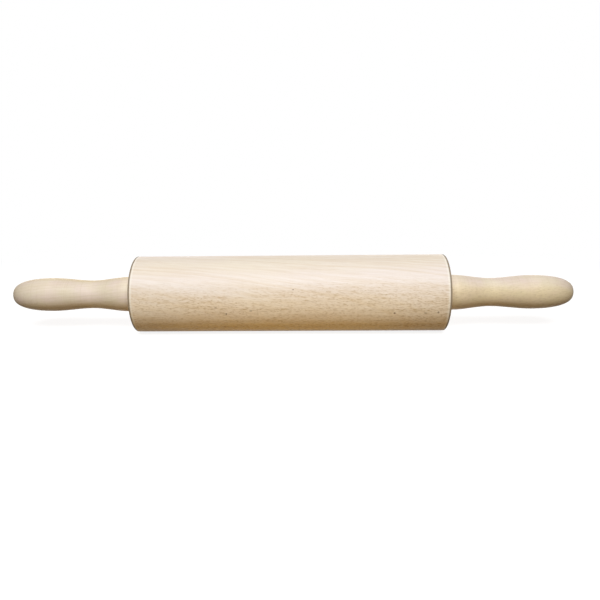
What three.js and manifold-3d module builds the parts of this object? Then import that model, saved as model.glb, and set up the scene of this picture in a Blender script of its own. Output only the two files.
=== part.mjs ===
// Rolling pin: a beech barrel that turns on a steel axle in two nylon bushes, with a turned beech
// handle pressed on each end of the axle. Millimetres. The pin lies along X with Z up, and the
// origin is at the middle of its axis.

import * as THREE from "three";
import { mergeVertices } from "three/addons/utils/BufferGeometryUtils.js";
import Module from "manifold-3d";

const wasm = await Module();
wasm.setup();

// Barrel
const barrelDiameter = 60;
const barrelLength = 242;
const barrelEdgeRadius = 0.6;
const barrelBoreClearance = 1; // round the axle, between the bushes

// Axle, a plain rod whose ends are knurled to grip the handles
const axleDiameter = 8;
const axleSeatDepth = 60; // length held in each handle
const axleTipChamfer = 1;
const knurlLength = 45;
const knurlRunout = 1; // where the knurl fades into the plain rod
const knurlHeight = 0.15; // crests above the rod and roots below it, low enough to pass the bushes
const knurlTeeth = 24;

// Flanged bearing bushes, one pressed into each end of the barrel
const bushRunningClearance = 0.2;
const bushWall = 4;
const bushSleeveLength = 20;
const bushSleeveChamfer = 1;
const bushFlangeThickness = 2;
const bushFlangeWidth = 4; // beyond the sleeve
const bushMouthChamfer = 0.5;
const bushSeatSpare = 1; // empty depth past the end of the sleeve
const ribCount = 6; // crush ribs that hold the sleeve in its seat
const ribRadius = 0.8;
const ribHeight = 0.3; // above the sleeve
const ribLeadIn = 4; // plain end of the sleeve that starts it in its seat

// Thrust washers, one between each bush and its handle
const washerThickness = 1;
const washerWidth = 5.5; // of the ring
const washerClearance = 0.3; // round the axle
const washerEdge = 0.2;
const endPlay = 0.25; // on each face of a washer

// Handles, from the end that faces the barrel to the tip
const collarDiameter = 27.6;
const collarLength = 5.5;
const collarChamfer = 0.8;
const neckLength = 29.5;
const waistDiameter = 22.3;
const swellLength = 32.3;
const gripDiameter = 26.5;
const noseLength = 31.2;
const noseFullness = 0.82; // how far the grip's width carries on into the nose
const tipFullness = 0.32; // how squarely the nose turns in to the tip
const tipDiameter = 8.6;
const handleMouthChamfer = 1;
const handleBoreSpare = 2; // empty depth past the end of the axle
const drillPointAngle = 118; // degrees, at the bottom of the handle's bore

// Gap drawn between pieces that are pressed together
const pressGap = 0.25;

// Facets round each kind of piece, and steps along each curve of a profile
const barrelFacets = 72;
const handleFacets = 48;
const smallFacets = 32;
const ribFacets = 8;
const handleCurveSteps = 10;
const edgeArcSteps = 2;

// Sizes that follow from the ones above
const barrelRadius = barrelDiameter / 2;
const halfBarrel = barrelLength / 2;
const axleRadius = axleDiameter / 2;
const knurlCrest = axleRadius + knurlHeight;
const knurlRoot = axleRadius - knurlHeight;
const bushBore = axleRadius + bushRunningClearance;
const sleeveRadius = bushBore + bushWall;
const flangeRadius = sleeveRadius + bushFlangeWidth;
const bushLength = bushFlangeThickness + bushSleeveLength;
const washerBore = axleRadius + washerClearance;
const washerRadius = washerBore + washerWidth;
const endGap = washerThickness + 2 * endPlay;
const handleBore = knurlCrest + pressGap;
const handleLength = collarLength + neckLength + swellLength + noseLength;
const halfAxle = halfBarrel + endGap + axleSeatDepth;

// Finishes
const barrelBeech = { color: 0xe9d5b8, roughness: 0.55, metalness: 0 };
const handleBeech = { color: 0xdfc9a6, roughness: 0.5, metalness: 0 };
const steel = { color: 0xb9bcc0, roughness: 0.35, metalness: 1 };
const nylon = { color: 0xf1efe8, roughness: 0.45, metalness: 0 };

// A profile of (radius, distance along the axis) turned about X. Facets face straight up and down.
function turned(profile, facets) {
  const geometry = new THREE.LatheGeometry(profile, facets, Math.PI / facets);
  return geometry.rotateZ(-Math.PI / 2);
}

// A profile through points, closed on itself or from axis to axis.
function outlined(...points) {
  return points.map(([radius, along]) => new THREE.Vector2(radius, along));
}

// A closed geometry as a solid that can be joined and cut.
function solid(geometry) {
  const bare = geometry.clone();
  bare.deleteAttribute("normal");
  bare.deleteAttribute("uv");
  const merged = mergeVertices(bare);
  return new wasm.Manifold(
    new wasm.Mesh({
      numProp: 3,
      vertProperties: new Float32Array(merged.getAttribute("position").array),
      triVerts: new Uint32Array(merged.index.array),
    }),
  );
}

// A solid as a geometry again.
function geometryOf(made) {
  const mesh = made.getMesh();
  const geometry = new THREE.BufferGeometry();
  geometry.setAttribute("position", new THREE.BufferAttribute(mesh.vertProperties, 3));
  geometry.setIndex(new THREE.BufferAttribute(mesh.triVerts, 1));
  geometry.computeVertexNormals();
  return geometry;
}

// The barrel is bored through, and each end is counterbored for the sleeve and the flange of a bush.
function barrelGeometry() {
  const bore = axleRadius + barrelBoreClearance;
  const seat = sleeveRadius + ribHeight + pressGap;
  const recess = flangeRadius + pressGap;
  const recessFloor = halfBarrel - bushFlangeThickness - pressGap;
  const seatFloor = halfBarrel - bushLength - bushSeatSpare;
  const edge = barrelEdgeRadius;
  const outline = new THREE.Path();
  outline.moveTo(bore, -seatFloor);
  outline.lineTo(seat, -seatFloor);
  outline.lineTo(seat, -recessFloor);
  outline.lineTo(recess, -recessFloor);
  outline.lineTo(recess, -halfBarrel);
  outline.absarc(barrelRadius - edge, edge - halfBarrel, edge, -Math.PI / 2, 0);
  outline.absarc(barrelRadius - edge, halfBarrel - edge, edge, 0, Math.PI / 2);
  outline.lineTo(recess, halfBarrel);
  outline.lineTo(recess, recessFloor);
  outline.lineTo(seat, recessFloor);
  outline.lineTo(seat, seatFloor);
  outline.lineTo(bore, seatFloor);
  outline.closePath();
  return turned(outline.getPoints(edgeArcSteps), barrelFacets);
}

// One knurled end of the axle, a toothed bar with its tip chamfered, on the +X side.
function knurledEnd() {
  const teeth = new THREE.Shape();
  const corners = 2 * knurlTeeth;
  for (let corner = 0; corner < corners; corner++) {
    const radius = corner % 2 ? knurlRoot : knurlCrest;
    const angle = (2 * Math.PI * corner) / corners;
    const y = radius * Math.cos(angle);
    const z = radius * Math.sin(angle);
    if (corner) teeth.lineTo(y, z);
    else teeth.moveTo(y, z);
  }
  const start = halfAxle - knurlLength;
  const depth = knurlLength + axleTipChamfer;
  const bar = new THREE.ExtrudeGeometry(teeth, { depth, bevelEnabled: false });
  bar.rotateY(Math.PI / 2).translate(start, 0, 0);
  const wide = knurlCrest + axleTipChamfer;
  const tip = turned(
    outlined(
      [0, start - axleTipChamfer],
      [wide, start - axleTipChamfer],
      [wide, halfAxle - 2 * axleTipChamfer],
      [knurlCrest - axleTipChamfer, halfAxle],
      [0, halfAxle],
    ),
    smallFacets,
  );
  return geometryOf(solid(bar).intersect(solid(tip)));
}

function axleGeometry() {
  const halfRod = halfAxle - knurlLength + knurlRunout;
  const rod = turned(
    outlined([0, -halfRod], [axleRadius, -halfRod], [axleRadius, halfRod], [0, halfRod]),
    smallFacets,
  );
  const right = knurledEnd();
  const left = right.clone().rotateZ(Math.PI);
  return geometryOf(solid(rod).add(solid(right)).add(solid(left)));
}

// A bush, with the outer face of its flange at x = 0 and its sleeve on the -X side.
function bushGeometry() {
  const ring = turned(
    outlined(
      [bushBore, bushMouthChamfer - bushLength],
      [bushBore + bushMouthChamfer, -bushLength],
      [sleeveRadius - bushSleeveChamfer, -bushLength],
      [sleeveRadius, bushSleeveChamfer - bushLength],
      [sleeveRadius, -bushFlangeThickness],
      [flangeRadius, -bushFlangeThickness],
      [flangeRadius, -bushMouthChamfer],
      [flangeRadius - bushMouthChamfer, 0],
      [bushBore + bushMouthChamfer, 0],
      [bushBore, -bushMouthChamfer],
      [bushBore, bushMouthChamfer - bushLength],
    ),
    smallFacets,
  );
  let bush = solid(ring);
  const ribStart = -bushFlangeThickness / 2;
  const ribEnd = ribLeadIn - bushLength;
  const ribCentre = sleeveRadius + ribHeight - ribRadius;
  for (let rib = 0; rib < ribCount; rib++) {
    const bar = new THREE.CylinderGeometry(ribRadius, ribRadius, ribStart - ribEnd, ribFacets);
    bar.rotateZ(Math.PI / 2).translate((ribStart + ribEnd) / 2, ribCentre, 0);
    bar.rotateX((2 * Math.PI * rib) / ribCount);
    bush = bush.add(solid(bar));
  }
  return geometryOf(bush);
}

// A washer, with its inner face at x = 0.
function washerGeometry() {
  return turned(
    outlined(
      [washerBore + washerEdge, 0],
      [washerRadius - washerEdge, 0],
      [washerRadius, washerEdge],
      [washerRadius, washerThickness - washerEdge],
      [washerRadius - washerEdge, washerThickness],
      [washerBore + washerEdge, washerThickness],
      [washerBore, washerThickness - washerEdge],
      [washerBore, washerEdge],
      [washerBore + washerEdge, 0],
    ),
    smallFacets,
  );
}

// Carries a profile on to another radius, parallel to the axis where it leaves and arrives.
function sweepTo(outline, radius, length) {
  const from = outline.currentPoint.clone();
  const third = length / 3;
  outline.bezierCurveTo(from.x, from.y + third, radius, from.y + 2 * third, radius, from.y + length);
}

// A handle, with the end that faces the barrel at x = 0. It has a collar, narrows to a waist,
// swells to a grip and closes in a nose with a small flat tip, and a blind bore takes the axle.
function handleGeometry() {
  const boreFloor = axleSeatDepth + handleBoreSpare;
  const drillPoint = handleBore / Math.tan(THREE.MathUtils.degToRad(drillPointAngle / 2));
  const collarRadius = collarDiameter / 2;
  const waistRadius = waistDiameter / 2;
  const gripRadius = gripDiameter / 2;
  const tipRadius = tipDiameter / 2;
  const outline = new THREE.Path();
  outline.moveTo(0, boreFloor + drillPoint);
  outline.lineTo(handleBore, boreFloor);
  outline.lineTo(handleBore, handleMouthChamfer);
  outline.lineTo(handleBore + handleMouthChamfer, 0);
  outline.lineTo(collarRadius - collarChamfer, 0);
  outline.lineTo(collarRadius, collarChamfer);
  outline.lineTo(collarRadius, collarLength);
  sweepTo(outline, waistRadius, neckLength);
  sweepTo(outline, gripRadius, swellLength);
  outline.bezierCurveTo(
    gripRadius,
    handleLength - noseLength * (1 - noseFullness),
    tipRadius + tipFullness * (gripRadius - tipRadius),
    handleLength,
    tipRadius,
    handleLength,
  );
  outline.lineTo(0, handleLength);
  return turned(outline.getPoints(handleCurveSteps), handleFacets);
}

// A named piece with a finish of its own, at a distance along X.
function piece(name, geometry, finish, along = 0) {
  const mesh = new THREE.Mesh(geometry, new THREE.MeshStandardMaterial(finish));
  mesh.name = name;
  mesh.position.x = along;
  return mesh;
}

const rollingPin = new THREE.Group();
rollingPin.name = "rolling_pin";
rollingPin.add(piece("barrel", barrelGeometry(), barrelBeech));
rollingPin.add(piece("axle_rod", axleGeometry(), steel));

// The two ends are alike: the left one is the right one turned half a turn about Z.
for (const side of ["left", "right"]) {
  const end = new THREE.Group();
  end.add(piece(`${side}_bearing_bush`, bushGeometry(), nylon, halfBarrel));
  end.add(piece(`${side}_thrust_washer`, washerGeometry(), steel, halfBarrel + endPlay));
  end.add(piece(`${side}_handle`, handleGeometry(), handleBeech, halfBarrel + endGap));
  end.rotation.z = side === "left" ? Math.PI : 0;
  rollingPin.add(end);
}

export default rollingPin;
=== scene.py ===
import math

import bpy
import numpy as np
from mathutils import Matrix, Vector


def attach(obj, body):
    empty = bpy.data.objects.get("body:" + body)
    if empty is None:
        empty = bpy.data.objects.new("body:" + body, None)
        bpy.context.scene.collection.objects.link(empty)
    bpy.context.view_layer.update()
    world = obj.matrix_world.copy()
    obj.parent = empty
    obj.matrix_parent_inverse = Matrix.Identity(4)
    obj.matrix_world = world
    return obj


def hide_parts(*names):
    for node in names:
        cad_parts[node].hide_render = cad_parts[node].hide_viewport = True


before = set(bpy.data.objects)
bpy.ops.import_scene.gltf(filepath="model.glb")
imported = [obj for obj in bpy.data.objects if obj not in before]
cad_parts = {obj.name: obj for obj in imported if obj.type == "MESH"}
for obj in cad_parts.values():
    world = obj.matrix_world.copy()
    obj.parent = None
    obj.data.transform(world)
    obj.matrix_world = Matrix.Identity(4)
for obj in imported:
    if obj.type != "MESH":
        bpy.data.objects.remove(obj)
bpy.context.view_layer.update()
mm = 0.001  # settings are in millimetres and degrees
print("frame loaded:", ", ".join(sorted(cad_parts)))


# Node helpers

# adds a node, sets its properties and fills its inputs with values or links
def addNode(tree, kind, inputs=None, **properties):
    made = tree.nodes.new(kind)
    for key, value in properties.items():
        setattr(made, key, value)
    for socket, value in (inputs or {}).items():
        if isinstance(value, bpy.types.NodeSocket):
            tree.links.new(value, made.inputs[socket])
        else:
            made.inputs[socket].default_value = value
    return made


def calc(tree, operation, *values):
    return addNode(tree, "ShaderNodeMath", dict(enumerate(values)), operation=operation).outputs[0]


def times(tree, first, second):
    return calc(tree, "MULTIPLY", first, second)


def vectorCalc(tree, operation, first, second, output="Vector"):
    made = addNode(tree, "ShaderNodeVectorMath", {0: first, 1: second}, operation=operation)
    return made.outputs[output]


def lengthOf(tree, vector):
    return vectorCalc(tree, "LENGTH", vector, (0, 0, 0), "Value")


# a vector's x, y and z
def partsOf(tree, vector):
    return addNode(tree, "ShaderNodeSeparateXYZ", {0: vector}).outputs


# a smooth step between two values, given as 0 to 1 or as another span
def fade(tree, value, low, high, start=0.0, end=1.0):
    spans = {"Value": value, "From Min": low, "From Max": high, "To Min": start, "To Max": end}
    made = addNode(tree, "ShaderNodeMapRange", spans, interpolation_type="SMOOTHSTEP")
    return made.outputs["Result"]


# the first colour where the factor is 0, the second where it is 1
def tint(tree, factor, first, second, blend="MIX"):
    inputs = {0: factor, 6: first, 7: second}
    return addNode(tree, "ShaderNodeMix", inputs, data_type="RGBA", blend_type=blend).outputs[2]


# noise with grains of the given lengths along x, y and z
def grainNoise(tree, place, lengths, detail=2.0, rough=0.5, output="Fac"):
    scaled = vectorCalc(tree, "MULTIPLY", place, [1 / (length * mm) for length in lengths])
    inputs = {"Vector": scaled, "Scale": 1.0, "Detail": detail, "Roughness": rough}
    return addNode(tree, "ShaderNodeTexNoise", inputs).outputs[output]


def newMaterial(name):
    material = bpy.data.materials.new(name)
    material.use_nodes = True
    return material, material.node_tree, material.node_tree.nodes["Principled BSDF"]


# links the shader's colour and roughness, and its relief of the given strength and depth
def dress(tree, shader, colour, roughness, height, strength, depth):
    inputs = {"Strength": strength, "Distance": depth * mm, "Height": height}
    bump = addNode(tree, "ShaderNodeBump", inputs)
    sockets = {"Base Color": colour, "Roughness": roughness, "Normal": bump.outputs["Normal"]}
    for socket, value in sockets.items():
        tree.links.new(value, shader.inputs[socket])


# Beech

# what all the wood shares: its noises' lengths along x, y and z, and the spans over which a noise, a
# distance or a lean fades in
beechGrain = {
    "wander": (150, 55, 55), "patches": (55, 20, 20), "fibre": (28, 0.55, 0.55), "streak": (120, 4.5, 4.5),
    "turning": (0.9, 70, 70), "pores": (3.0, 0.22, 0.22), "sanding": (0.3, 60, 60),
    "flatTo": 0.85, "blushSpan": (0.0, 0.3), "driftSpan": (0.32, 0.68),
    "lateSpan": (0.3, 0.9), "ringEnd": (1.0, 0.93), "weakestRing": 0.2,
    "raySpan": (0.38, 0.14), "patchSpan": (0.3, 0.62), "patchLeast": 0.7, "bandSpan": (0.36, 0.64),
    "lineSpan": (0.45, 0.70), "streakSpan": (0.42, 0.75), "turningSpan": (0.45, 0.8),
    "fibreSpan": (0.35, 0.8), "endSpan": (0.7, 1.0), "knotSpan": (0.5, 0.2),
    "fibreRough": 0.12, "endRough": 0.15, "fibreHeight": 0.6, "poreHeight": 0.4, "rayDepth": 0.5, "depth": 0.06,
}


# a point's place in the trunk, and the same place seen from the pith: the fibre wanders a little on its
# way along the piece, and runs out towards the bark in proportion to x
def trunkPlace(tree, look, here, place):
    wander = grainNoise(tree, place, beechGrain["wander"], detail=1.0, output="Color")
    wander = vectorCalc(tree, "SUBTRACT", wander, (0.5, 0.5, 0.5))
    wander = vectorCalc(tree, "MULTIPLY", wander, (0.0, look["wander"] * mm, look["wander"] * mm))
    reach = math.hypot(*look["pith"])
    bark = [0.0] + [-value / reach * look["runOut"] for value in look["pith"]]
    x = partsOf(tree, here)[0]
    runOut = addNode(tree, "ShaderNodeCombineXYZ", {1: x, 2: x}).outputs[0]
    runOut = vectorCalc(tree, "MULTIPLY", runOut, bark)
    grown = vectorCalc(tree, "ADD", vectorCalc(tree, "ADD", place, wander), runOut)
    pith = [0.0] + [value * mm for value in look["pith"]]
    return grown, vectorCalc(tree, "SUBTRACT", grown, pith)


# a ring darkens slowly to its late wood and then starts again, some rings more than others
def lateWoodOf(tree, look, fromPith):
    ringCount = calc(tree, "DIVIDE", fromPith, look["ringWidth"] * mm)
    ringPart = calc(tree, "FRACT", ringCount)
    darkening = fade(tree, ringPart, *beechGrain["lateSpan"])
    late = times(tree, darkening, fade(tree, ringPart, *beechGrain["ringEnd"]))
    whichRing = {"W": calc(tree, "FLOOR", ringCount)}
    eachRing = addNode(tree, "ShaderNodeTexWhiteNoise", whichRing, noise_dimensions="1D").outputs["Value"]
    return times(tree, late, fade(tree, eachRing, 0.0, 1.0, beechGrain["weakestRing"], 1.0))


# ray cells: short along the fibre, thin round the pith, deep away from it
def rayCellsOf(tree, look, along, side, up, fromPith):
    arc = times(tree, calc(tree, "ARCTAN2", up, side), math.hypot(*look["pith"]) * mm)
    rays = addNode(tree, "ShaderNodeCombineXYZ", {0: along, 1: arc, 2: fromPith}).outputs[0]
    rays = vectorCalc(tree, "MULTIPLY", rays, [1 / (size * mm) for size in look["rayCell"]])
    cells = addNode(tree, "ShaderNodeTexVoronoi", {"Vector": rays, "Scale": 1.0}, feature="F1")
    chosen = addNode(tree, "ShaderNodeSeparateColor", {0: cells.outputs["Color"]}).outputs[0]
    core = fade(tree, cells.outputs["Distance"], *beechGrain["raySpan"])
    return times(tree, core, fade(tree, chosen, look["raysFrom"], 1.0))


# small dark spots on the turned surface
def pinKnotted(tree, look, here, colour):
    for knotX, angle, length, width, strength in look["pinKnots"]:
        turn, radius = math.radians(angle), look["radius"] * mm
        spot = [knotX * mm, -radius * math.cos(turn), radius * math.sin(turn)]
        away = vectorCalc(tree, "SUBTRACT", here, spot)
        away = vectorCalc(tree, "MULTIPLY", away, [1 / (size * mm) for size in (length, width, width)])
        dark = fade(tree, lengthOf(tree, away), *beechGrain["knotSpan"])
        colour = tint(tree, times(tree, dark, strength), colour, look["knotTint"])
    return colour


# Beech has growth rings about a pith beside the piece, and fibre along x that runs out towards the bark.
# Rays stand out from the same pith: where the surface is turned to the bark they show end on as short
# dashes, among lengthwise bands and broken lines of fibre, and where it turns side on the grain is quiet.
# The ends are darker, with rings and pale rays; on the handles this darkening is deepened as painted shade on the
# noses and tips.
def beech(name, look):
    grain = beechGrain
    material, tree, shader = newMaterial(name)
    coords = addNode(tree, "ShaderNodeTexCoord")
    here, facing = coords.outputs["Object"], coords.outputs["Normal"]
    place = vectorCalc(tree, "ADD", here, [value * mm for value in look["offset"]])
    grown, seenFromPith = trunkPlace(tree, look, here, place)
    along, side, up = partsOf(tree, seenFromPith)
    across = addNode(tree, "ShaderNodeCombineXYZ", {1: side, 2: up}).outputs[0]
    fromPith = lengthOf(tree, across)
    outwards = vectorCalc(tree, "NORMALIZE", across, (0, 0, 0))
    faces = vectorCalc(tree, "DOT_PRODUCT", facing, outwards, "Value")
    facesBoth = times(tree, faces, faces)  # the same towards the bark and towards the pith
    flat = fade(tree, facesBoth, look["flatFrom"], grain["flatTo"], look["sideOn"], 1.0)

    lateWood = lateWoodOf(tree, look, fromPith)
    rayCells = rayCellsOf(tree, look, along, side, up, fromPith)

    # flecks come in patches, and are stronger in some lengthwise bands than in others
    patches = grainNoise(tree, place, grain["patches"], detail=1.0)
    patches = fade(tree, patches, *grain["patchSpan"], grain["patchLeast"], 1.0)
    bands = fade(tree, grainNoise(tree, place, look["bandGrain"], detail=1.5), *grain["bandSpan"])
    inBands = calc(tree, "MULTIPLY_ADD", bands, look["bandDepth"], 1 - look["bandDepth"])
    onFlat = times(tree, times(tree, flat, patches), inBands)
    ray = times(tree, rayCells, onFlat)

    # broken lines of darker fibre between the rays
    lines = grainNoise(tree, grown, look["lineGrain"], detail=2.5, rough=0.55)
    lines = times(tree, fade(tree, lines, *grain["lineSpan"]), onFlat)

    fibre = grainNoise(tree, grown, grain["fibre"], detail=3.0, rough=0.6)
    streak = grainNoise(tree, grown, grain["streak"])
    drift = grainNoise(tree, place, look["driftGrain"], detail=2.5)
    turning = grainNoise(tree, here, grain["turning"], detail=1.0)

    # end grain where the surface leans along the fibre, with its rings and pale rays on the end itself
    endGrain = calc(tree, "ABSOLUTE", partsOf(tree, facing)[0])
    endFace = fade(tree, endGrain, *grain["endSpan"])
    # where shade is painted on the eased edges
    eased = addNode(tree, "ShaderNodeAttribute", attribute_name="easedEdge").outputs["Fac"]
    # where a highlight line is painted beside the eased edges
    pale = addNode(tree, "ShaderNodeAttribute", attribute_name="highlightEdge").outputs["Fac"]

    # cream turns pink in drifting patches, and where the surface turns to the bark
    turned = times(tree, fade(tree, facesBoth, *grain["blushSpan"]), 1 - look["drift"])
    blush = calc(tree, "MULTIPLY_ADD", fade(tree, drift, *grain["driftSpan"]), look["drift"], turned)
    colour = tint(tree, blush, look["cream"], look["pink"])
    layers = [
        (fade(tree, streak, *grain["streakSpan"]), look["streaks"], look["late"]),
        (lateWood, look["rings"], look["late"]),
        (fade(tree, turning, *grain["turningSpan"]), look["turning"], look["late"]),
        (fade(tree, fibre, *grain["fibreSpan"]), look["fibres"], look["rayTint"]),
        # painted warm shade: a golden tint on the flat-sawn side, which lies at the lower front and at the back
        # top
        (times(tree, flat, flat), look["flatWarmShade"], look["flatWarmShadeTint"]),
        (times(tree, bands, flat), look["bands"], look["rayTint"]),
        (lines, look["lines"], look["rayTint"]),
        (ray, look["rays"], look["rayTint"]),
        (times(tree, lateWood, endFace), look["endRings"], look["late"]),
        (times(tree, rayCells, endFace), look["endRays"], look["paleRayAndHighlightTint"]),
        # painted highlight beside the eased edges
        (pale, look["highlightEdges"], look["paleRayAndHighlightTint"]),
        # painted shade on the eased edges
        (eased, look["edges"], look["edgeShadeTint"]),
    ]
    for amount, share, shade in layers:
        colour = tint(tree, times(tree, amount, share), colour, shade)
    # darker end grain; on the handles, with their dark tint at full share, also painted shade on the noses and
    # tips
    colour = tint(tree, times(tree, endGrain, look["ends"]), colour, look["endGrainAndShadeTint"], "MULTIPLY")
    colour = pinKnotted(tree, look, here, colour)

    spread = grain["fibreRough"]
    roughness = calc(tree, "MULTIPLY_ADD", fibre, spread, look["roughness"] - spread / 2)
    roughness = calc(tree, "MULTIPLY_ADD", endGrain, grain["endRough"], roughness)
    shader.inputs["Specular IOR Level"].default_value = look["specular"]

    # relief: fibre, pores, sunken rays and the faint rings left by sanding on the lathe
    pores = grainNoise(tree, place, grain["pores"])
    sanding = grainNoise(tree, here, grain["sanding"])
    height = calc(tree, "MULTIPLY_ADD", fibre, grain["fibreHeight"], times(tree, pores, grain["poreHeight"]))
    height = calc(tree, "SUBTRACT", height, times(tree, ray, grain["rayDepth"]))
    height = calc(tree, "MULTIPLY_ADD", sanding, look["sanding"], height)
    dress(tree, shader, colour, roughness, height, look["relief"], grain["depth"])
    return material


# Steel and nylon

steelFinish = {
    "cloud": (9, 9, 9), "cloudSpan": (0.3, 0.7), "scratchSpan": (0.45, 0.8), "scratches": 0.35,
    "roughSpread": 0.3, "relief": 0.15, "depth": 0.02,
}


# steel with a fine grain of its own lengths, a little darker where it is rougher
def steel(name, look):
    finish = steelFinish
    material, tree, shader = newMaterial(name)
    place = addNode(tree, "ShaderNodeTexCoord").outputs["Object"]
    grain = grainNoise(tree, place, look["grain"], detail=3.0, rough=0.6)
    cloud = fade(tree, grainNoise(tree, place, finish["cloud"]), *finish["cloudSpan"])
    scratched = times(tree, fade(tree, grain, *finish["scratchSpan"]), finish["scratches"])
    colour = tint(tree, cloud, look["bright"], look["dull"])
    colour = tint(tree, scratched, colour, look["dull"])
    spread = finish["roughSpread"]
    roughness = calc(tree, "MULTIPLY_ADD", grain, spread, look["roughness"] - spread / 2)
    dress(tree, shader, colour, roughness, grain, finish["relief"], finish["depth"])
    shader.inputs["Metallic"].default_value = 1.0
    return material


# moulded nylon, faintly clouded, with a fine spark texture from its mould
def nylon(name, look):
    material, tree, shader = newMaterial(name)
    place = addNode(tree, "ShaderNodeTexCoord").outputs["Object"]
    cloud = fade(tree, grainNoise(tree, place, look["cloud"]), *look["cloudSpan"])
    spark = grainNoise(tree, place, look["spark"])
    colour = tint(tree, cloud, look["light"], look["dark"])
    spread = look["roughSpread"]
    roughness = calc(tree, "MULTIPLY_ADD", spark, spread, look["roughness"] - spread / 2)
    dress(tree, shader, colour, roughness, spark, look["relief"], look["depth"])
    return material


# Turned surfaces

sharpFrom = 35.0  # edges that turn by more than this are drawn sharp
tiny = 1e-6  # radii closer than this are the same


# where a CAD node starts and ends along x, and its greatest radius about x
def reachOf(node):
    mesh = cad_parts[node].data
    spots = np.empty(3 * len(mesh.vertices), np.float32)
    mesh.vertices.foreach_get("co", spots)
    x, y, z = spots.reshape(-1, 3).T / mm
    return float(x.min()), float(x.max()), float(np.hypot(y, z).max())


# one stretch of an outline as rows of x, radius, eased edge (where edge shade is painted), pale edge (where a
# highlight line is painted) and share of the map
def stretch(points, eased=0.0, pale=0.0, mapShare=1.0):
    points = np.asarray(points, float)
    return np.hstack([points, np.tile([eased, pale, mapShare], (len(points), 1))])


# evenly spaced points on a line, without its end
def lineOf(start, end, steps):
    return np.linspace(start, end, steps, endpoint=False)


# points on an arc of a circle from one angle to another, without its end
def arcOf(centre, radius, start, end, steps):
    angle = np.radians(np.linspace(start, end, steps, endpoint=False))
    return np.stack([centre[0] + radius * np.cos(angle), centre[1] + radius * np.sin(angle)], 1)


# points on a cubic curve between its first and last corner, without its end
def cubicOf(corners, steps):
    t = np.linspace(0, 1, steps, endpoint=False)[:, None]
    a, b, c, d = np.asarray(corners, float)
    return (1 - t) ** 3 * a + 3 * (1 - t) ** 2 * t * b + 3 * (1 - t) * t**2 * c + t**3 * d


# the same outline on the other side of x = 0, run the other way so that it still faces outwards
def mirrored(outline):
    return outline[::-1] * [-1, 1, 1, 1, 1]


# An outline carried once round the x axis: each point (x, r) becomes the ring (x, r cos a, r sin a)
# over a full turn of a, with r raised by the relief where there is one. An outline that starts and
# ends on the axis is closed by a fan at each end, and any other one runs back into its start. The
# map is unrolled: u is the turn and v the way along the outline.
def turnedPiece(name, outline, segments, relief=None):
    closed = outline[0, 1] > tiny
    rings = outline if closed else outline[1:-1]
    count = len(rings)
    turn = np.arange(segments) * 2 * math.pi / segments
    x, r, a = np.broadcast_arrays(rings[:, :1], rings[:, 1:2], turn[None, :])
    if relief:
        r = r + relief(x, r, a)
    points = np.stack([x, r * np.cos(a), r * np.sin(a)], 2).reshape(-1, 3)

    spans = np.diff(np.vstack([outline, outline[:1]]) if closed else outline, axis=0)
    shares = np.hypot(spans[:, 0], spans[:, 1]) * outline[: len(spans), 4]
    way = np.concatenate([[0.0], np.cumsum(shares)])
    way /= way[-1]

    column = np.arange(segments)
    following = (column + 1) % segments
    row = np.arange(count if closed else count - 1)[:, None]
    below, above = row * segments, (row + 1) % count * segments
    quads = np.stack([below + column, below + following, above + following, above + column], 2)
    faces = quads.reshape(-1, 4).tolist()
    u = np.stack([column, column + 1, column + 1, column], 1)[None] / segments
    low = way[row + (0 if closed else 1)]
    high = way[row + (1 if closed else 2)]
    v = np.stack([low, low, high, high], 2)
    unrolled = [np.stack(np.broadcast_arrays(u, v), 3).reshape(-1, 2)]
    marks = np.repeat(rings[:, 2:4], segments, 0)

    if not closed:
        poles = outline[[0, -1], :1] * [[1, 0, 0]]
        points = np.vstack([points, poles])
        marks = np.vstack([marks, np.zeros((2, 2))])
        whole = np.ones(segments, int)
        firstPole, lastPole = count * segments * whole, (count * segments + 1) * whole
        lastRing = (count - 1) * segments
        faces += np.stack([firstPole, following, column], 1).tolist()
        faces += np.stack([lastRing + column, lastRing + following, lastPole], 1).tolist()
        fans = [
            ([column + 0.5, column + 1, column], [0.0, way[1], way[1]]),
            ([column, column + 1, column + 0.5], [way[-2], way[-2], 1.0]),
        ]
        for across, along in fans:
            fan = np.stack(across, 1) / segments
            unrolled.append(np.stack([fan, np.tile(along, (segments, 1))], 2).reshape(-1, 2))

    mesh = bpy.data.meshes.new(name)
    mesh.from_pydata((points * mm).tolist(), [], faces)
    layer = mesh.uv_layers.new(name="OFBake")
    layer.uv.foreach_set("vector", np.vstack(unrolled).astype(np.float32).ravel())
    for key, values in zip(("easedEdge", "highlightEdge"), marks.T.astype(np.float32)):
        attribute = mesh.attributes.new(key, "FLOAT", "POINT")
        attribute.data.foreach_set("value", np.ascontiguousarray(values))
    mesh.shade_smooth()
    mesh.set_sharp_from_angle(angle=math.radians(sharpFrom))
    made = bpy.data.objects.new(name, mesh)
    bpy.context.scene.collection.objects.link(made)
    return made


# dresses a piece, lets it stand for its CAD node and ties it to its body
def fitPiece(piece, material, node, body):
    piece.data.materials.append(material)
    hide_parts(node)
    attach(piece, body)
    print(piece.name, "stands for", node, "with", len(piece.data.polygons), "faces")


# Barrel

viewTilt = 12.0  # how far the camera looks down, so the barrel's marks are placed from it too

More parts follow.
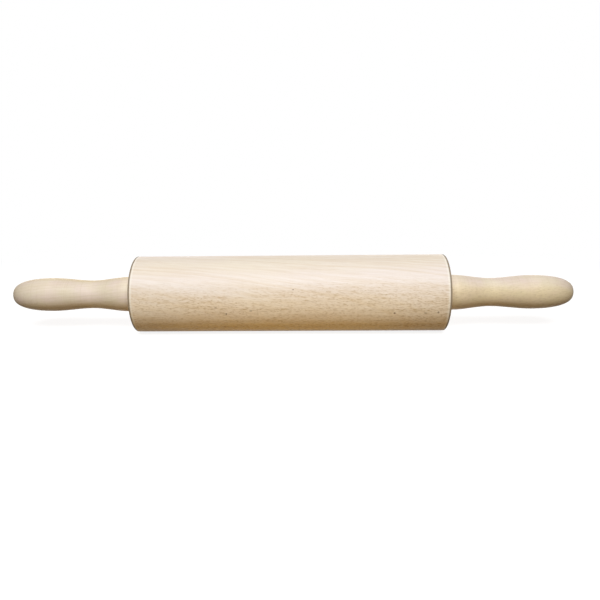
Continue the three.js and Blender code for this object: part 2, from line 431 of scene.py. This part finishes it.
barrelShape = {
    "edge": 0.6, "hold": 0.3,  # the eased edge, and the step over which its tint ends
    # before the eased edge: the end of the plain body, the painted highlight line and the start of the painted
    # edge shade
    "bodyEnd": 2.4, "highlightFrom": 1.8, "highlightTo": 0.9, "edgeShadeFrom": 0.6,
    "bore": 5.0, "seat": 8.75, "seatDepth": 23.0, "recess": 12.45, "recessDepth": 2.25,
    "bodySteps": 16, "edgeSteps": 8, "faceSteps": 6, "seatSteps": 4, "boreSteps": 6, "segments": 288,
    "recessMap": 0.5, "seatMap": 0.2, "boreMap": 0.05,  # hidden faces get less of the map
}
barrelWood = {
    "radius": 30.0, "offset": (0, 0, 0), "pith": (45, 46), "wander": 9.0, "runOut": -0.12, "ringWidth": 3.2,
    "cream": (0.83, 0.735, 0.625, 1), "pink": (0.825, 0.73, 0.695, 1), "late": (0.71, 0.56, 0.42, 1),
    # the flat tint and its share are painted warm shade on the flat-sawn side
    "flatWarmShadeTint": (0.96, 0.77, 0.48, 1), "rayTint": (0.46, 0.29, 0.12, 1), "paleRayAndHighlightTint": (0.93, 0.87, 0.78, 1),
    # the edge tint and the edges share are painted shade on the eased edges
    "edgeShadeTint": (0.21, 0.155, 0.10, 1), "endGrainAndShadeTint": (0.84, 0.76, 0.66, 1), "knotTint": (0.20, 0.12, 0.07, 1),
    "streaks": 0.36, "rings": 0.42, "fibres": 0.18, "flatWarmShade": 0.36, "bands": 0.13, "lines": 0.88, "rays": 0.95,
    # the pale edges share is a painted highlight line beside each eased edge; the pale tint also colours the ends'
    # pale rays
    "highlightEdges": 0.4, "edges": 0.9, "ends": 0.55, "endRings": 0.6, "endRays": 0.5, "turning": 0.03,
    "flatFrom": 0.24, "sideOn": 0.05, "rayCell": (2.6, 0.6, 20), "raysFrom": 0.3, "lineGrain": (4.6, 0.55, 0.55),
    "bandDepth": 0.35, "bandGrain": (60, 1.6, 1.6), "drift": 0.35, "driftGrain": (80, 26, 26),
    "roughness": 0.5, "specular": 0.3, "relief": 0.25, "sanding": 0.3,
    # along x, angle above the horizon at the front, length, width, strength
    "pinKnots": [
        (3.3, 4.9 + viewTilt, 1.5, 1.1, 0.9), (79, -31 + viewTilt, 2.2, 2.0, 0.85),
        (102, -31 + viewTilt, 3.2, 1.1, 0.65), (111.5, -30 + viewTilt, 2.0, 2.2, 0.8),
        (-47.2, -31 + viewTilt, 1.7, 2.4, 0.75), (-28.6, -26 + viewTilt, 3.0, 1.3, 0.55),
        (-55, -21 + viewTilt, 2.6, 1.1, 0.55),
    ],
}


# the right half from the middle of the body, over the eased edge and the end, and back along the bore,
# then the same for the left half
def barrelOutline(half, radius, shape):
    edge, hold = shape["edge"], shape["hold"]
    recess, seat, bore = shape["recess"], shape["seat"], shape["bore"]
    recessFloor, seatFloor = half - shape["recessDepth"], half - shape["seatDepth"]
    edgeStart = half - edge
    bodyEnd, edgeShadeFrom = edgeStart - shape["bodyEnd"], edgeStart - shape["edgeShadeFrom"]
    highlightLine = [(edgeStart - shape["highlightFrom"], radius), (edgeStart - shape["highlightTo"], radius)]
    right = np.vstack([
        stretch(lineOf((0, radius), (bodyEnd, radius), shape["bodySteps"])),
        stretch([(bodyEnd, radius)]),
        # a painted highlight line on the body beside the eased edge
        stretch(highlightLine, pale=1.0),
        # the painted edge shade starts here and runs over the eased edge
        stretch([(edgeShadeFrom, radius)], eased=1.0),
        stretch(arcOf((edgeStart, radius - edge), edge, 90, 0, shape["edgeSteps"]), eased=1.0),
        stretch([(half, radius - edge)], eased=1.0),
        stretch([(half, radius - edge - hold)]),
        stretch(lineOf((half, radius - edge - 2 * hold), (half, recess), shape["faceSteps"])),
        stretch([(half, recess), (recessFloor, recess)], mapShare=shape["recessMap"]),
        stretch(lineOf((recessFloor, seat), (seatFloor, seat), shape["seatSteps"]), mapShare=shape["seatMap"]),
        stretch([(seatFloor, seat)], mapShare=shape["seatMap"]),
        stretch(lineOf((seatFloor, bore), (0, bore), shape["boreSteps"]), mapShare=shape["boreMap"]),
        stretch([(0, bore)], mapShare=shape["boreMap"]),
    ])
    return np.vstack([right, mirrored(right)[1:-1]])


barrelEnd, barrelRadius = reachOf("barrel")[1:]
barrelLine = barrelOutline(barrelEnd, barrelRadius, barrelShape)
barrel = turnedPiece("barrelTurned", barrelLine, barrelShape["segments"])
fitPiece(barrel, beech("barrelBeech", barrelWood), "barrel", "roller")


# Handles

handleShape = {
    "collarLength": 5.5, "collarEdge": 0.8, "neckLength": 29.5, "waist": 11.15, "swellLength": 32.3, "grip": 13.25,
    "noseLength": 31.2, "noseFullness": 0.82, "tipFullness": 0.32, "tip": 4.3, "hold": 0.3,
    "bore": 4.4, "boreDepth": 62.0, "mouth": 1.0, "drillPoint": 118.0,
    "boreSteps": 8, "mouthSteps": 2, "faceSteps": 4, "edgeSteps": 6, "collarSteps": 5, "curveSteps": 28,
    "noseSteps": 40, "tipSteps": 5, "segments": 192,
    "boreMap": 0.1, "mouthMap": 0.3,  # hidden faces get less of the map
}
handleWood = {
    "wander": 5.0, "runOut": 0.06, "ringWidth": 2.6,
    "cream": (0.805, 0.70, 0.555, 1), "pink": (0.82, 0.68, 0.605, 1), "late": (0.655, 0.53, 0.375, 1),
    # the flat tint and its share are painted warm shade on the flat-sawn side
    "flatWarmShadeTint": (0.78, 0.61, 0.315, 1), "rayTint": (0.46, 0.32, 0.19, 1), "paleRayAndHighlightTint": (0.84, 0.76, 0.63, 1),
    # the edge tint and the edges share are painted shade on the collar's eased edge
    "edgeShadeTint": (0.42, 0.32, 0.21, 1), "endGrainAndShadeTint": (0.42, 0.39, 0.315, 1),
    "streaks": 0.22, "rings": 0.28, "fibres": 0.2, "flatWarmShade": 0.5, "bands": 0.0, "lines": 0.3, "rays": 0.35,
    # the end tint at full share is end grain deepened as painted shade on the noses and tips
    "highlightEdges": 0.3, "edges": 0.5, "ends": 1.0, "endRings": 0.6, "endRays": 0.5, "turning": 0.35,
    "flatFrom": 0.15, "sideOn": 0.15, "rayCell": (2.6, 0.7, 18), "raysFrom": 0.35, "lineGrain": (3.5, 0.8, 0.8),
    "bandDepth": 0.0, "bandGrain": (20, 1.6, 1.6), "drift": 0.9, "driftGrain": (16, 10, 10),
    "roughness": 0.48, "specular": 0.3, "relief": 0.2, "sanding": 0.5, "pinKnots": [],
}
# each handle is cut from another place in the trunk
handlePlaces = {
    "left": {"offset": (37, 12, -9), "pith": (24, 31)},
    "right": {"offset": (-61, -17, 21), "pith": (27, 28)},
}


# from the drilled bore's point out to its mouth, up the collar, and over neck, swell and nose to the tip
def handleOutline(start, end, collar, shape):
    edge, hold, mouth = shape["collarEdge"], shape["hold"], shape["mouth"]
    bore, waist, grip, tip = shape["bore"], shape["waist"], shape["grip"], shape["tip"]
    boreFloor = start + shape["boreDepth"]
    drillTip = boreFloor + bore / math.tan(math.radians(shape["drillPoint"] / 2))
    collarEdge = start + edge
    neckStart = start + shape["collarLength"]
    narrow = neckStart + shape["neckLength"]
    wide = narrow + shape["swellLength"]
    neckThird, swellThird = shape["neckLength"] / 3, shape["swellLength"] / 3
    neck = [(neckStart, collar), (neckStart + neckThird, collar), (narrow - neckThird, waist), (narrow, waist)]
    swell = [(narrow, waist), (narrow + swellThird, waist), (wide - swellThird, grip), (wide, grip)]
    nose = [
        (wide, grip), (end - shape["noseLength"] * (1 - shape["noseFullness"]), grip),
        (end, tip + shape["tipFullness"] * (grip - tip)), (end, tip),
    ]
    faceEdge = (start, collar - edge - hold)
    boreLine = lineOf((boreFloor, bore), (start + mouth, bore), shape["boreSteps"])
    mouthLine = lineOf((start + mouth, bore), (start, bore + mouth), shape["mouthSteps"])
    return np.vstack([
        stretch([(drillTip, 0)], mapShare=shape["boreMap"]),
        stretch(boreLine, mapShare=shape["boreMap"]),
        stretch(mouthLine, mapShare=shape["mouthMap"]),
        stretch(lineOf((start, bore + mouth), faceEdge, shape["faceSteps"])),
        stretch([faceEdge]),
        # painted shade on the collar's eased edge
        stretch(arcOf((collarEdge, collar - edge), edge, 180, 90, shape["edgeSteps"]), eased=1.0),
        stretch([(collarEdge, collar)], eased=1.0),
        stretch([(collarEdge + hold, collar)]),
        stretch(lineOf((collarEdge + 2 * hold, collar), (neckStart, collar), shape["collarSteps"])),
        stretch(cubicOf(neck, shape["curveSteps"])),
        stretch(cubicOf(swell, shape["curveSteps"])),
        stretch(cubicOf(nose, shape["noseSteps"])),
        stretch(lineOf((end, tip), (end, 0), shape["tipSteps"])),
        stretch([(end, 0)]),
    ])


for side in ("left", "right"):
    handleStart, handleEnd, collarRadius = reachOf(side + "_handle")
    if side == "left":
        outline = mirrored(handleOutline(-handleEnd, -handleStart, collarRadius, handleShape))
    else:
        outline = handleOutline(handleStart, handleEnd, collarRadius, handleShape)
    handle = turnedPiece(side + "HandleTurned", outline, handleShape["segments"])
    wood = beech(side + "HandleBeech", {**handleWood, **handlePlaces[side]})
    fitPiece(handle, wood, side + "_handle", "handles_and_axle")


# Axle

axleShape = {
    "rod": 4.0, "tipEdge": 0.85, "knurlLength": 45.0, "runout": 1.0, "knurlHeight": 0.15, "teeth": 24,
    "rodSteps": 12, "runoutSteps": 3, "knurlSteps": 8, "segments": 192,
}
axleSteel = {
    "bright": (0.52, 0.53, 0.55, 1), "dull": (0.43, 0.44, 0.46, 1), "grain": (40, 0.25, 0.25), "roughness": 0.36,
}


def axleOutline(end, shape):
    rod, edge = shape["rod"], shape["tipEdge"]
    knurl = end - shape["knurlLength"]
    crests = knurl + shape["runout"]
    right = np.vstack([
        stretch(lineOf((0, rod), (knurl, rod), shape["rodSteps"])),
        stretch(lineOf((knurl, rod), (crests, rod), shape["runoutSteps"])),
        stretch(lineOf((crests, rod), (end - edge, rod), shape["knurlSteps"])),
        stretch([(end - edge, rod), (end, rod - edge), (end, 0)]),
    ])
    return np.vstack([mirrored(right)[:-1], right])


# the knurl's height is a triangle wave round the rod, from -1 at a root to 1 at a crest, on its ends only
def knurlRelief(x, r, a):
    wave = 1 - 4 * np.abs((a * axleShape["teeth"] / (2 * math.pi)) % 1 - 0.5)
    knurl = axleEnd - axleShape["knurlLength"]
    begun = np.clip((np.abs(x) - knurl) / axleShape["runout"], 0, 1)
    tip = np.clip((axleEnd - np.abs(x)) / axleShape["tipEdge"], 0, 1)
    return -wave * axleShape["knurlHeight"] * begun * tip


axleEnd = reachOf("axle_rod")[1]
axle = turnedPiece("axleDrawn", axleOutline(axleEnd, axleShape), axleShape["segments"], knurlRelief)
fitPiece(axle, steel("axleSteel", axleSteel), "axle_rod", "handles_and_axle")


# Bearing bushes

bushShape = {
    "bore": 4.2, "sleeve": 8.2, "sleeveEdge": 1.0, "flange": 2.0, "mouth": 0.5,
    "ribs": 6, "ribRadius": 0.8, "ribHeight": 0.3, "ribLeadIn": 4.0,
    "leadSteps": 2, "sleeveSteps": 24, "edgeSteps": 4, "faceSteps": 5, "segments": 288,
}
bushNylon = {
    "light": (0.87, 0.85, 0.80, 1), "dark": (0.80, 0.78, 0.72, 1), "cloud": (7, 7, 7), "cloudSpan": (0.3, 0.7),
    "spark": (0.35, 0.35, 0.35), "roughness": 0.45, "roughSpread": 0.2, "relief": 0.2, "depth": 0.02,
}


def bushOutline(start, end, flange, shape):
    bore, sleeve, edge, mouth = shape["bore"], shape["sleeve"], shape["sleeveEdge"], shape["mouth"]
    steps, underFlange, underEdge = shape["edgeSteps"], end - shape["flange"], shape["mouth"] / 2
    return np.vstack([
        stretch(lineOf((start, sleeve - edge), (start + edge, sleeve), shape["leadSteps"])),
        stretch(lineOf((start + edge, sleeve), (underFlange, sleeve), shape["sleeveSteps"])),
        stretch([(underFlange, sleeve)]),
        stretch(arcOf((underFlange + underEdge, flange - underEdge), underEdge, 180, 90, steps)),
        stretch([(underFlange + underEdge, flange)]),
        stretch(arcOf((end - mouth, flange - mouth), mouth, 90, 0, steps)),
        stretch(lineOf((end, flange - mouth), (end, bore + mouth), shape["faceSteps"])),
        stretch([(end, bore + mouth), (end - mouth, bore), (start + mouth, bore), (start, bore + mouth)]),
    ])


# a rib is part of a round bar sunk in the sleeve: the far side of a circle seen from the axis
def ribRelief(x, r, a):
    shape = bushShape
    centre = shape["sleeve"] + shape["ribHeight"] - shape["ribRadius"]
    step = 2 * math.pi / shape["ribs"]
    off = (a + step / 2) % step - step / 2
    inside = shape["ribRadius"] ** 2 - (centre * np.sin(off)) ** 2
    bar = centre * np.cos(off) + np.sqrt(np.maximum(inside, 0))
    height = np.where(inside > 0, np.maximum(bar - shape["sleeve"], 0), 0)
    fromEnd = np.abs(x) - bushStart
    onSleeve = (np.abs(r - shape["sleeve"]) < tiny) & (fromEnd > shape["ribLeadIn"])
    return height * onSleeve


bushMaterial = nylon("bushNylon", bushNylon)
bushStart, bushEnd, flangeRadius = reachOf("right_bearing_bush")
bushLine = bushOutline(bushStart, bushEnd, flangeRadius, bushShape)
for side in ("left", "right"):
    outline = mirrored(bushLine) if side == "left" else bushLine
    bush = turnedPiece(side + "BushMoulded", outline, bushShape["segments"], ribRelief)
    fitPiece(bush, bushMaterial, side + "_bearing_bush", "roller")


# Thrust washers

washerShape = {"bore": 4.3, "edge": 0.2, "edgeSteps": 3, "faceSteps": 3, "segments": 128}
washerSteel = {
    "bright": (0.58, 0.59, 0.61, 1), "dull": (0.48, 0.49, 0.51, 1), "grain": (0.8, 0.8, 0.8), "roughness": 0.42,
}


def washerOutline(start, end, radius, shape):
    bore, edge, steps, faceSteps = shape["bore"], shape["edge"], shape["edgeSteps"], shape["faceSteps"]
    return np.vstack([
        stretch(arcOf((start + edge, radius - edge), edge, 180, 90, steps)),
        stretch([(start + edge, radius)]),
        stretch(arcOf((end - edge, radius - edge), edge, 90, 0, steps)),
        stretch(lineOf((end, radius - edge), (end, bore + edge), faceSteps)),
        stretch(arcOf((end - edge, bore + edge), edge, 0, -90, steps)),
        stretch([(end - edge, bore)]),
        stretch(arcOf((start + edge, bore + edge), edge, -90, -180, steps)),
        stretch(lineOf((start, bore + edge), (start, radius - edge), faceSteps)),
    ])


washerMaterial = steel("washerSteel", washerSteel)
washerStart, washerEnd, washerRadius = reachOf("right_thrust_washer")
washerLine = washerOutline(washerStart, washerEnd, washerRadius, washerShape)
for side in ("left", "right"):
    outline = mirrored(washerLine) if side == "left" else washerLine
    washer = turnedPiece(side + "WasherStamped", outline, washerShape["segments"])
    fitPiece(washer, washerMaterial, side + "_thrust_washer", "handles_and_axle")


# Studio

scene = bpy.context.scene
scene.view_settings.view_transform = "Standard"

# The floor is seen white, with the object's shadow near the middle. The light that it throws back on the
# object is warm, in a pool below the barrel. Its distances are in metres.
studio = {
    "white": (1, 1, 1, 1), "ambient": (1.0, 0.46, 0.22, 1), "ambientLevel": 0.12,
    "bounce": (0.43, 0.272, 0.045, 1), "farBounce": (0.13, 0.075, 0.005, 1), "poolFrom": 0.02, "poolTo": 0.21,
    "shadowTone": (0.25, 0.25, 0.25, 1), "floorGlow": 0.86, "floorHalf": 6.0,
    "clearShape": (0.6, 1.0, 0.0), "clearFrom": 0.15, "clearTo": 0.45,  # the shadow fades out in an oval
}


# 1 where the eye looks, directly or in a reflection, and 0 for light on its way to the object
def seenRay(tree):
    path = addNode(tree, "ShaderNodeLightPath")
    mirrorRay = calc(tree, "MAXIMUM", path.outputs["Is Glossy Ray"], path.outputs["Is Transmission Ray"])
    return calc(tree, "MAXIMUM", path.outputs["Is Camera Ray"], mirrorRay)


# a shader that is the first where the factor is 0 and the second where it is 1
def mixShaders(tree, factor, first, second):
    inputs = {0: factor, 1: first.outputs[0], 2: second.outputs[0]}
    return addNode(tree, "ShaderNodeMixShader", inputs)


world = bpy.data.worlds.new("studioWhite")
world.use_nodes = True
tree = world.node_tree
tree.nodes.clear()
ambientInputs = {"Color": studio["ambient"], "Strength": studio["ambientLevel"]}
ambient = addNode(tree, "ShaderNodeBackground", ambientInputs)
white = addNode(tree, "ShaderNodeBackground", {"Color": studio["white"], "Strength": 1.0})
mixed = mixShaders(tree, seenRay(tree), ambient, white)
addNode(tree, "ShaderNodeOutputWorld", {0: mixed.outputs[0]})
scene.world = world

floorMesh = bpy.data.meshes.new("floor")
half, level = studio["floorHalf"], -barrelRadius * mm
corners = [(-half, -half, level), (half, -half, level), (half, half, level), (-half, half, level)]
floorMesh.from_pydata(corners, [], [(0, 1, 2, 3)])
floor = bpy.data.objects.new("floor", floorMesh)
scene.collection.objects.link(floor)

floorPaint = bpy.data.materials.new("floorPaint")
floorPaint.use_nodes = True
tree = floorPaint.node_tree
tree.nodes.clear()
onFloor = addNode(tree, "ShaderNodeTexCoord").outputs["Object"]
place = vectorCalc(tree, "MULTIPLY", onFloor, studio["clearShape"])
nearby = fade(tree, lengthOf(tree, place), studio["clearTo"], studio["clearFrom"])
glow = addNode(tree, "ShaderNodeEmission", {"Color": studio["white"], "Strength": studio["floorGlow"]})
shadowed = addNode(tree, "ShaderNodeBsdfDiffuse", {"Color": studio["shadowTone"]})
local = addNode(tree, "ShaderNodeAddShader", {0: glow.outputs[0], 1: shadowed.outputs[0]})
clear = addNode(tree, "ShaderNodeEmission", {"Color": studio["white"], "Strength": 1.0})
shown = mixShaders(tree, nearby, clear, local)
fromMiddle = calc(tree, "ABSOLUTE", partsOf(tree, onFloor)[0])
pool = fade(tree, fromMiddle, studio["poolTo"], studio["poolFrom"])
bounce = tint(tree, pool, studio["farBounce"], studio["bounce"])
bounced = addNode(tree, "ShaderNodeBsdfDiffuse", {"Color": bounce})
mixed = mixShaders(tree, seenRay(tree), bounced, shown)
addNode(tree, "ShaderNodeOutputMaterial", {0: mixed.outputs[0]})
floorMesh.materials.append(floorPaint)

# each softbox: degrees round from the front and above the floor, distance and size in metres, how
# bright it alone would make a white sheet that faces it, with 1 for plain white, and whether it glints
backSoftbox = {
    "above": 12, "far": 1.3, "size": (0.8, 0.5), "level": 0.48, "colour": (1.0, 1.0, 1.0), "glint": False,
}
softboxes = {
    "keySoftbox": {
        "round": 0, "above": 46, "far": 1.3, "size": (1.0, 0.5), "level": 1.2, "colour": (0.9, 0.98, 1.0),
        "glint": True,
    },
    "leftSoftbox": {"round": -150, **backSoftbox},
    "rightSoftbox": {"round": 150, **backSoftbox},
}
for name, box in softboxes.items():
    lamp = bpy.data.lights.new(name, "AREA")
    lamp.shape = "RECTANGLE"
    lamp.size, lamp.size_y = box["size"]
    lamp.energy = math.pi**2 * box["far"] ** 2 * box["level"]
    lamp.color = box["colour"]
    softbox = bpy.data.objects.new(name, lamp)
    softbox.visible_glossy = box["glint"]
    turn, above = math.radians(box["round"]), math.radians(box["above"])
    out = Vector((math.sin(turn) * math.cos(above), -math.cos(turn) * math.cos(above), math.sin(above)))
    softbox.location = out * box["far"]
    softbox.rotation_euler = out.to_track_quat("Z", "Y").to_euler()
    scene.collection.objects.link(softbox)
print("studio lit by", ", ".join(softboxes))


# Camera

view = {
    "lens": 33.18, "far": 441.0, "yaw": 1.53, "roll": 0.33, "shift": (0.0171, -0.0114), "clip": (0.01, 100.0),
}


def turnAbout(degrees, axis):
    return Matrix.Rotation(math.radians(degrees), 4, axis)


lens = bpy.data.cameras.new("camera")
lens.lens = view["lens"]
lens.shift_x, lens.shift_y = view["shift"]
lens.clip_start, lens.clip_end = view["clip"]
camera = bpy.data.objects.new("camera", lens)
scene.collection.objects.link(camera)
back = Matrix.Translation((0, -view["far"] * mm, 0))
around = turnAbout(-viewTilt, "X") @ turnAbout(view["yaw"], "Z")
camera.matrix_world = around @ back @ turnAbout(90, "X") @ turnAbout(-view["roll"], "Z")
scene.camera = camera
print("camera", view["far"], "mm away, looking down by", viewTilt, "degrees")
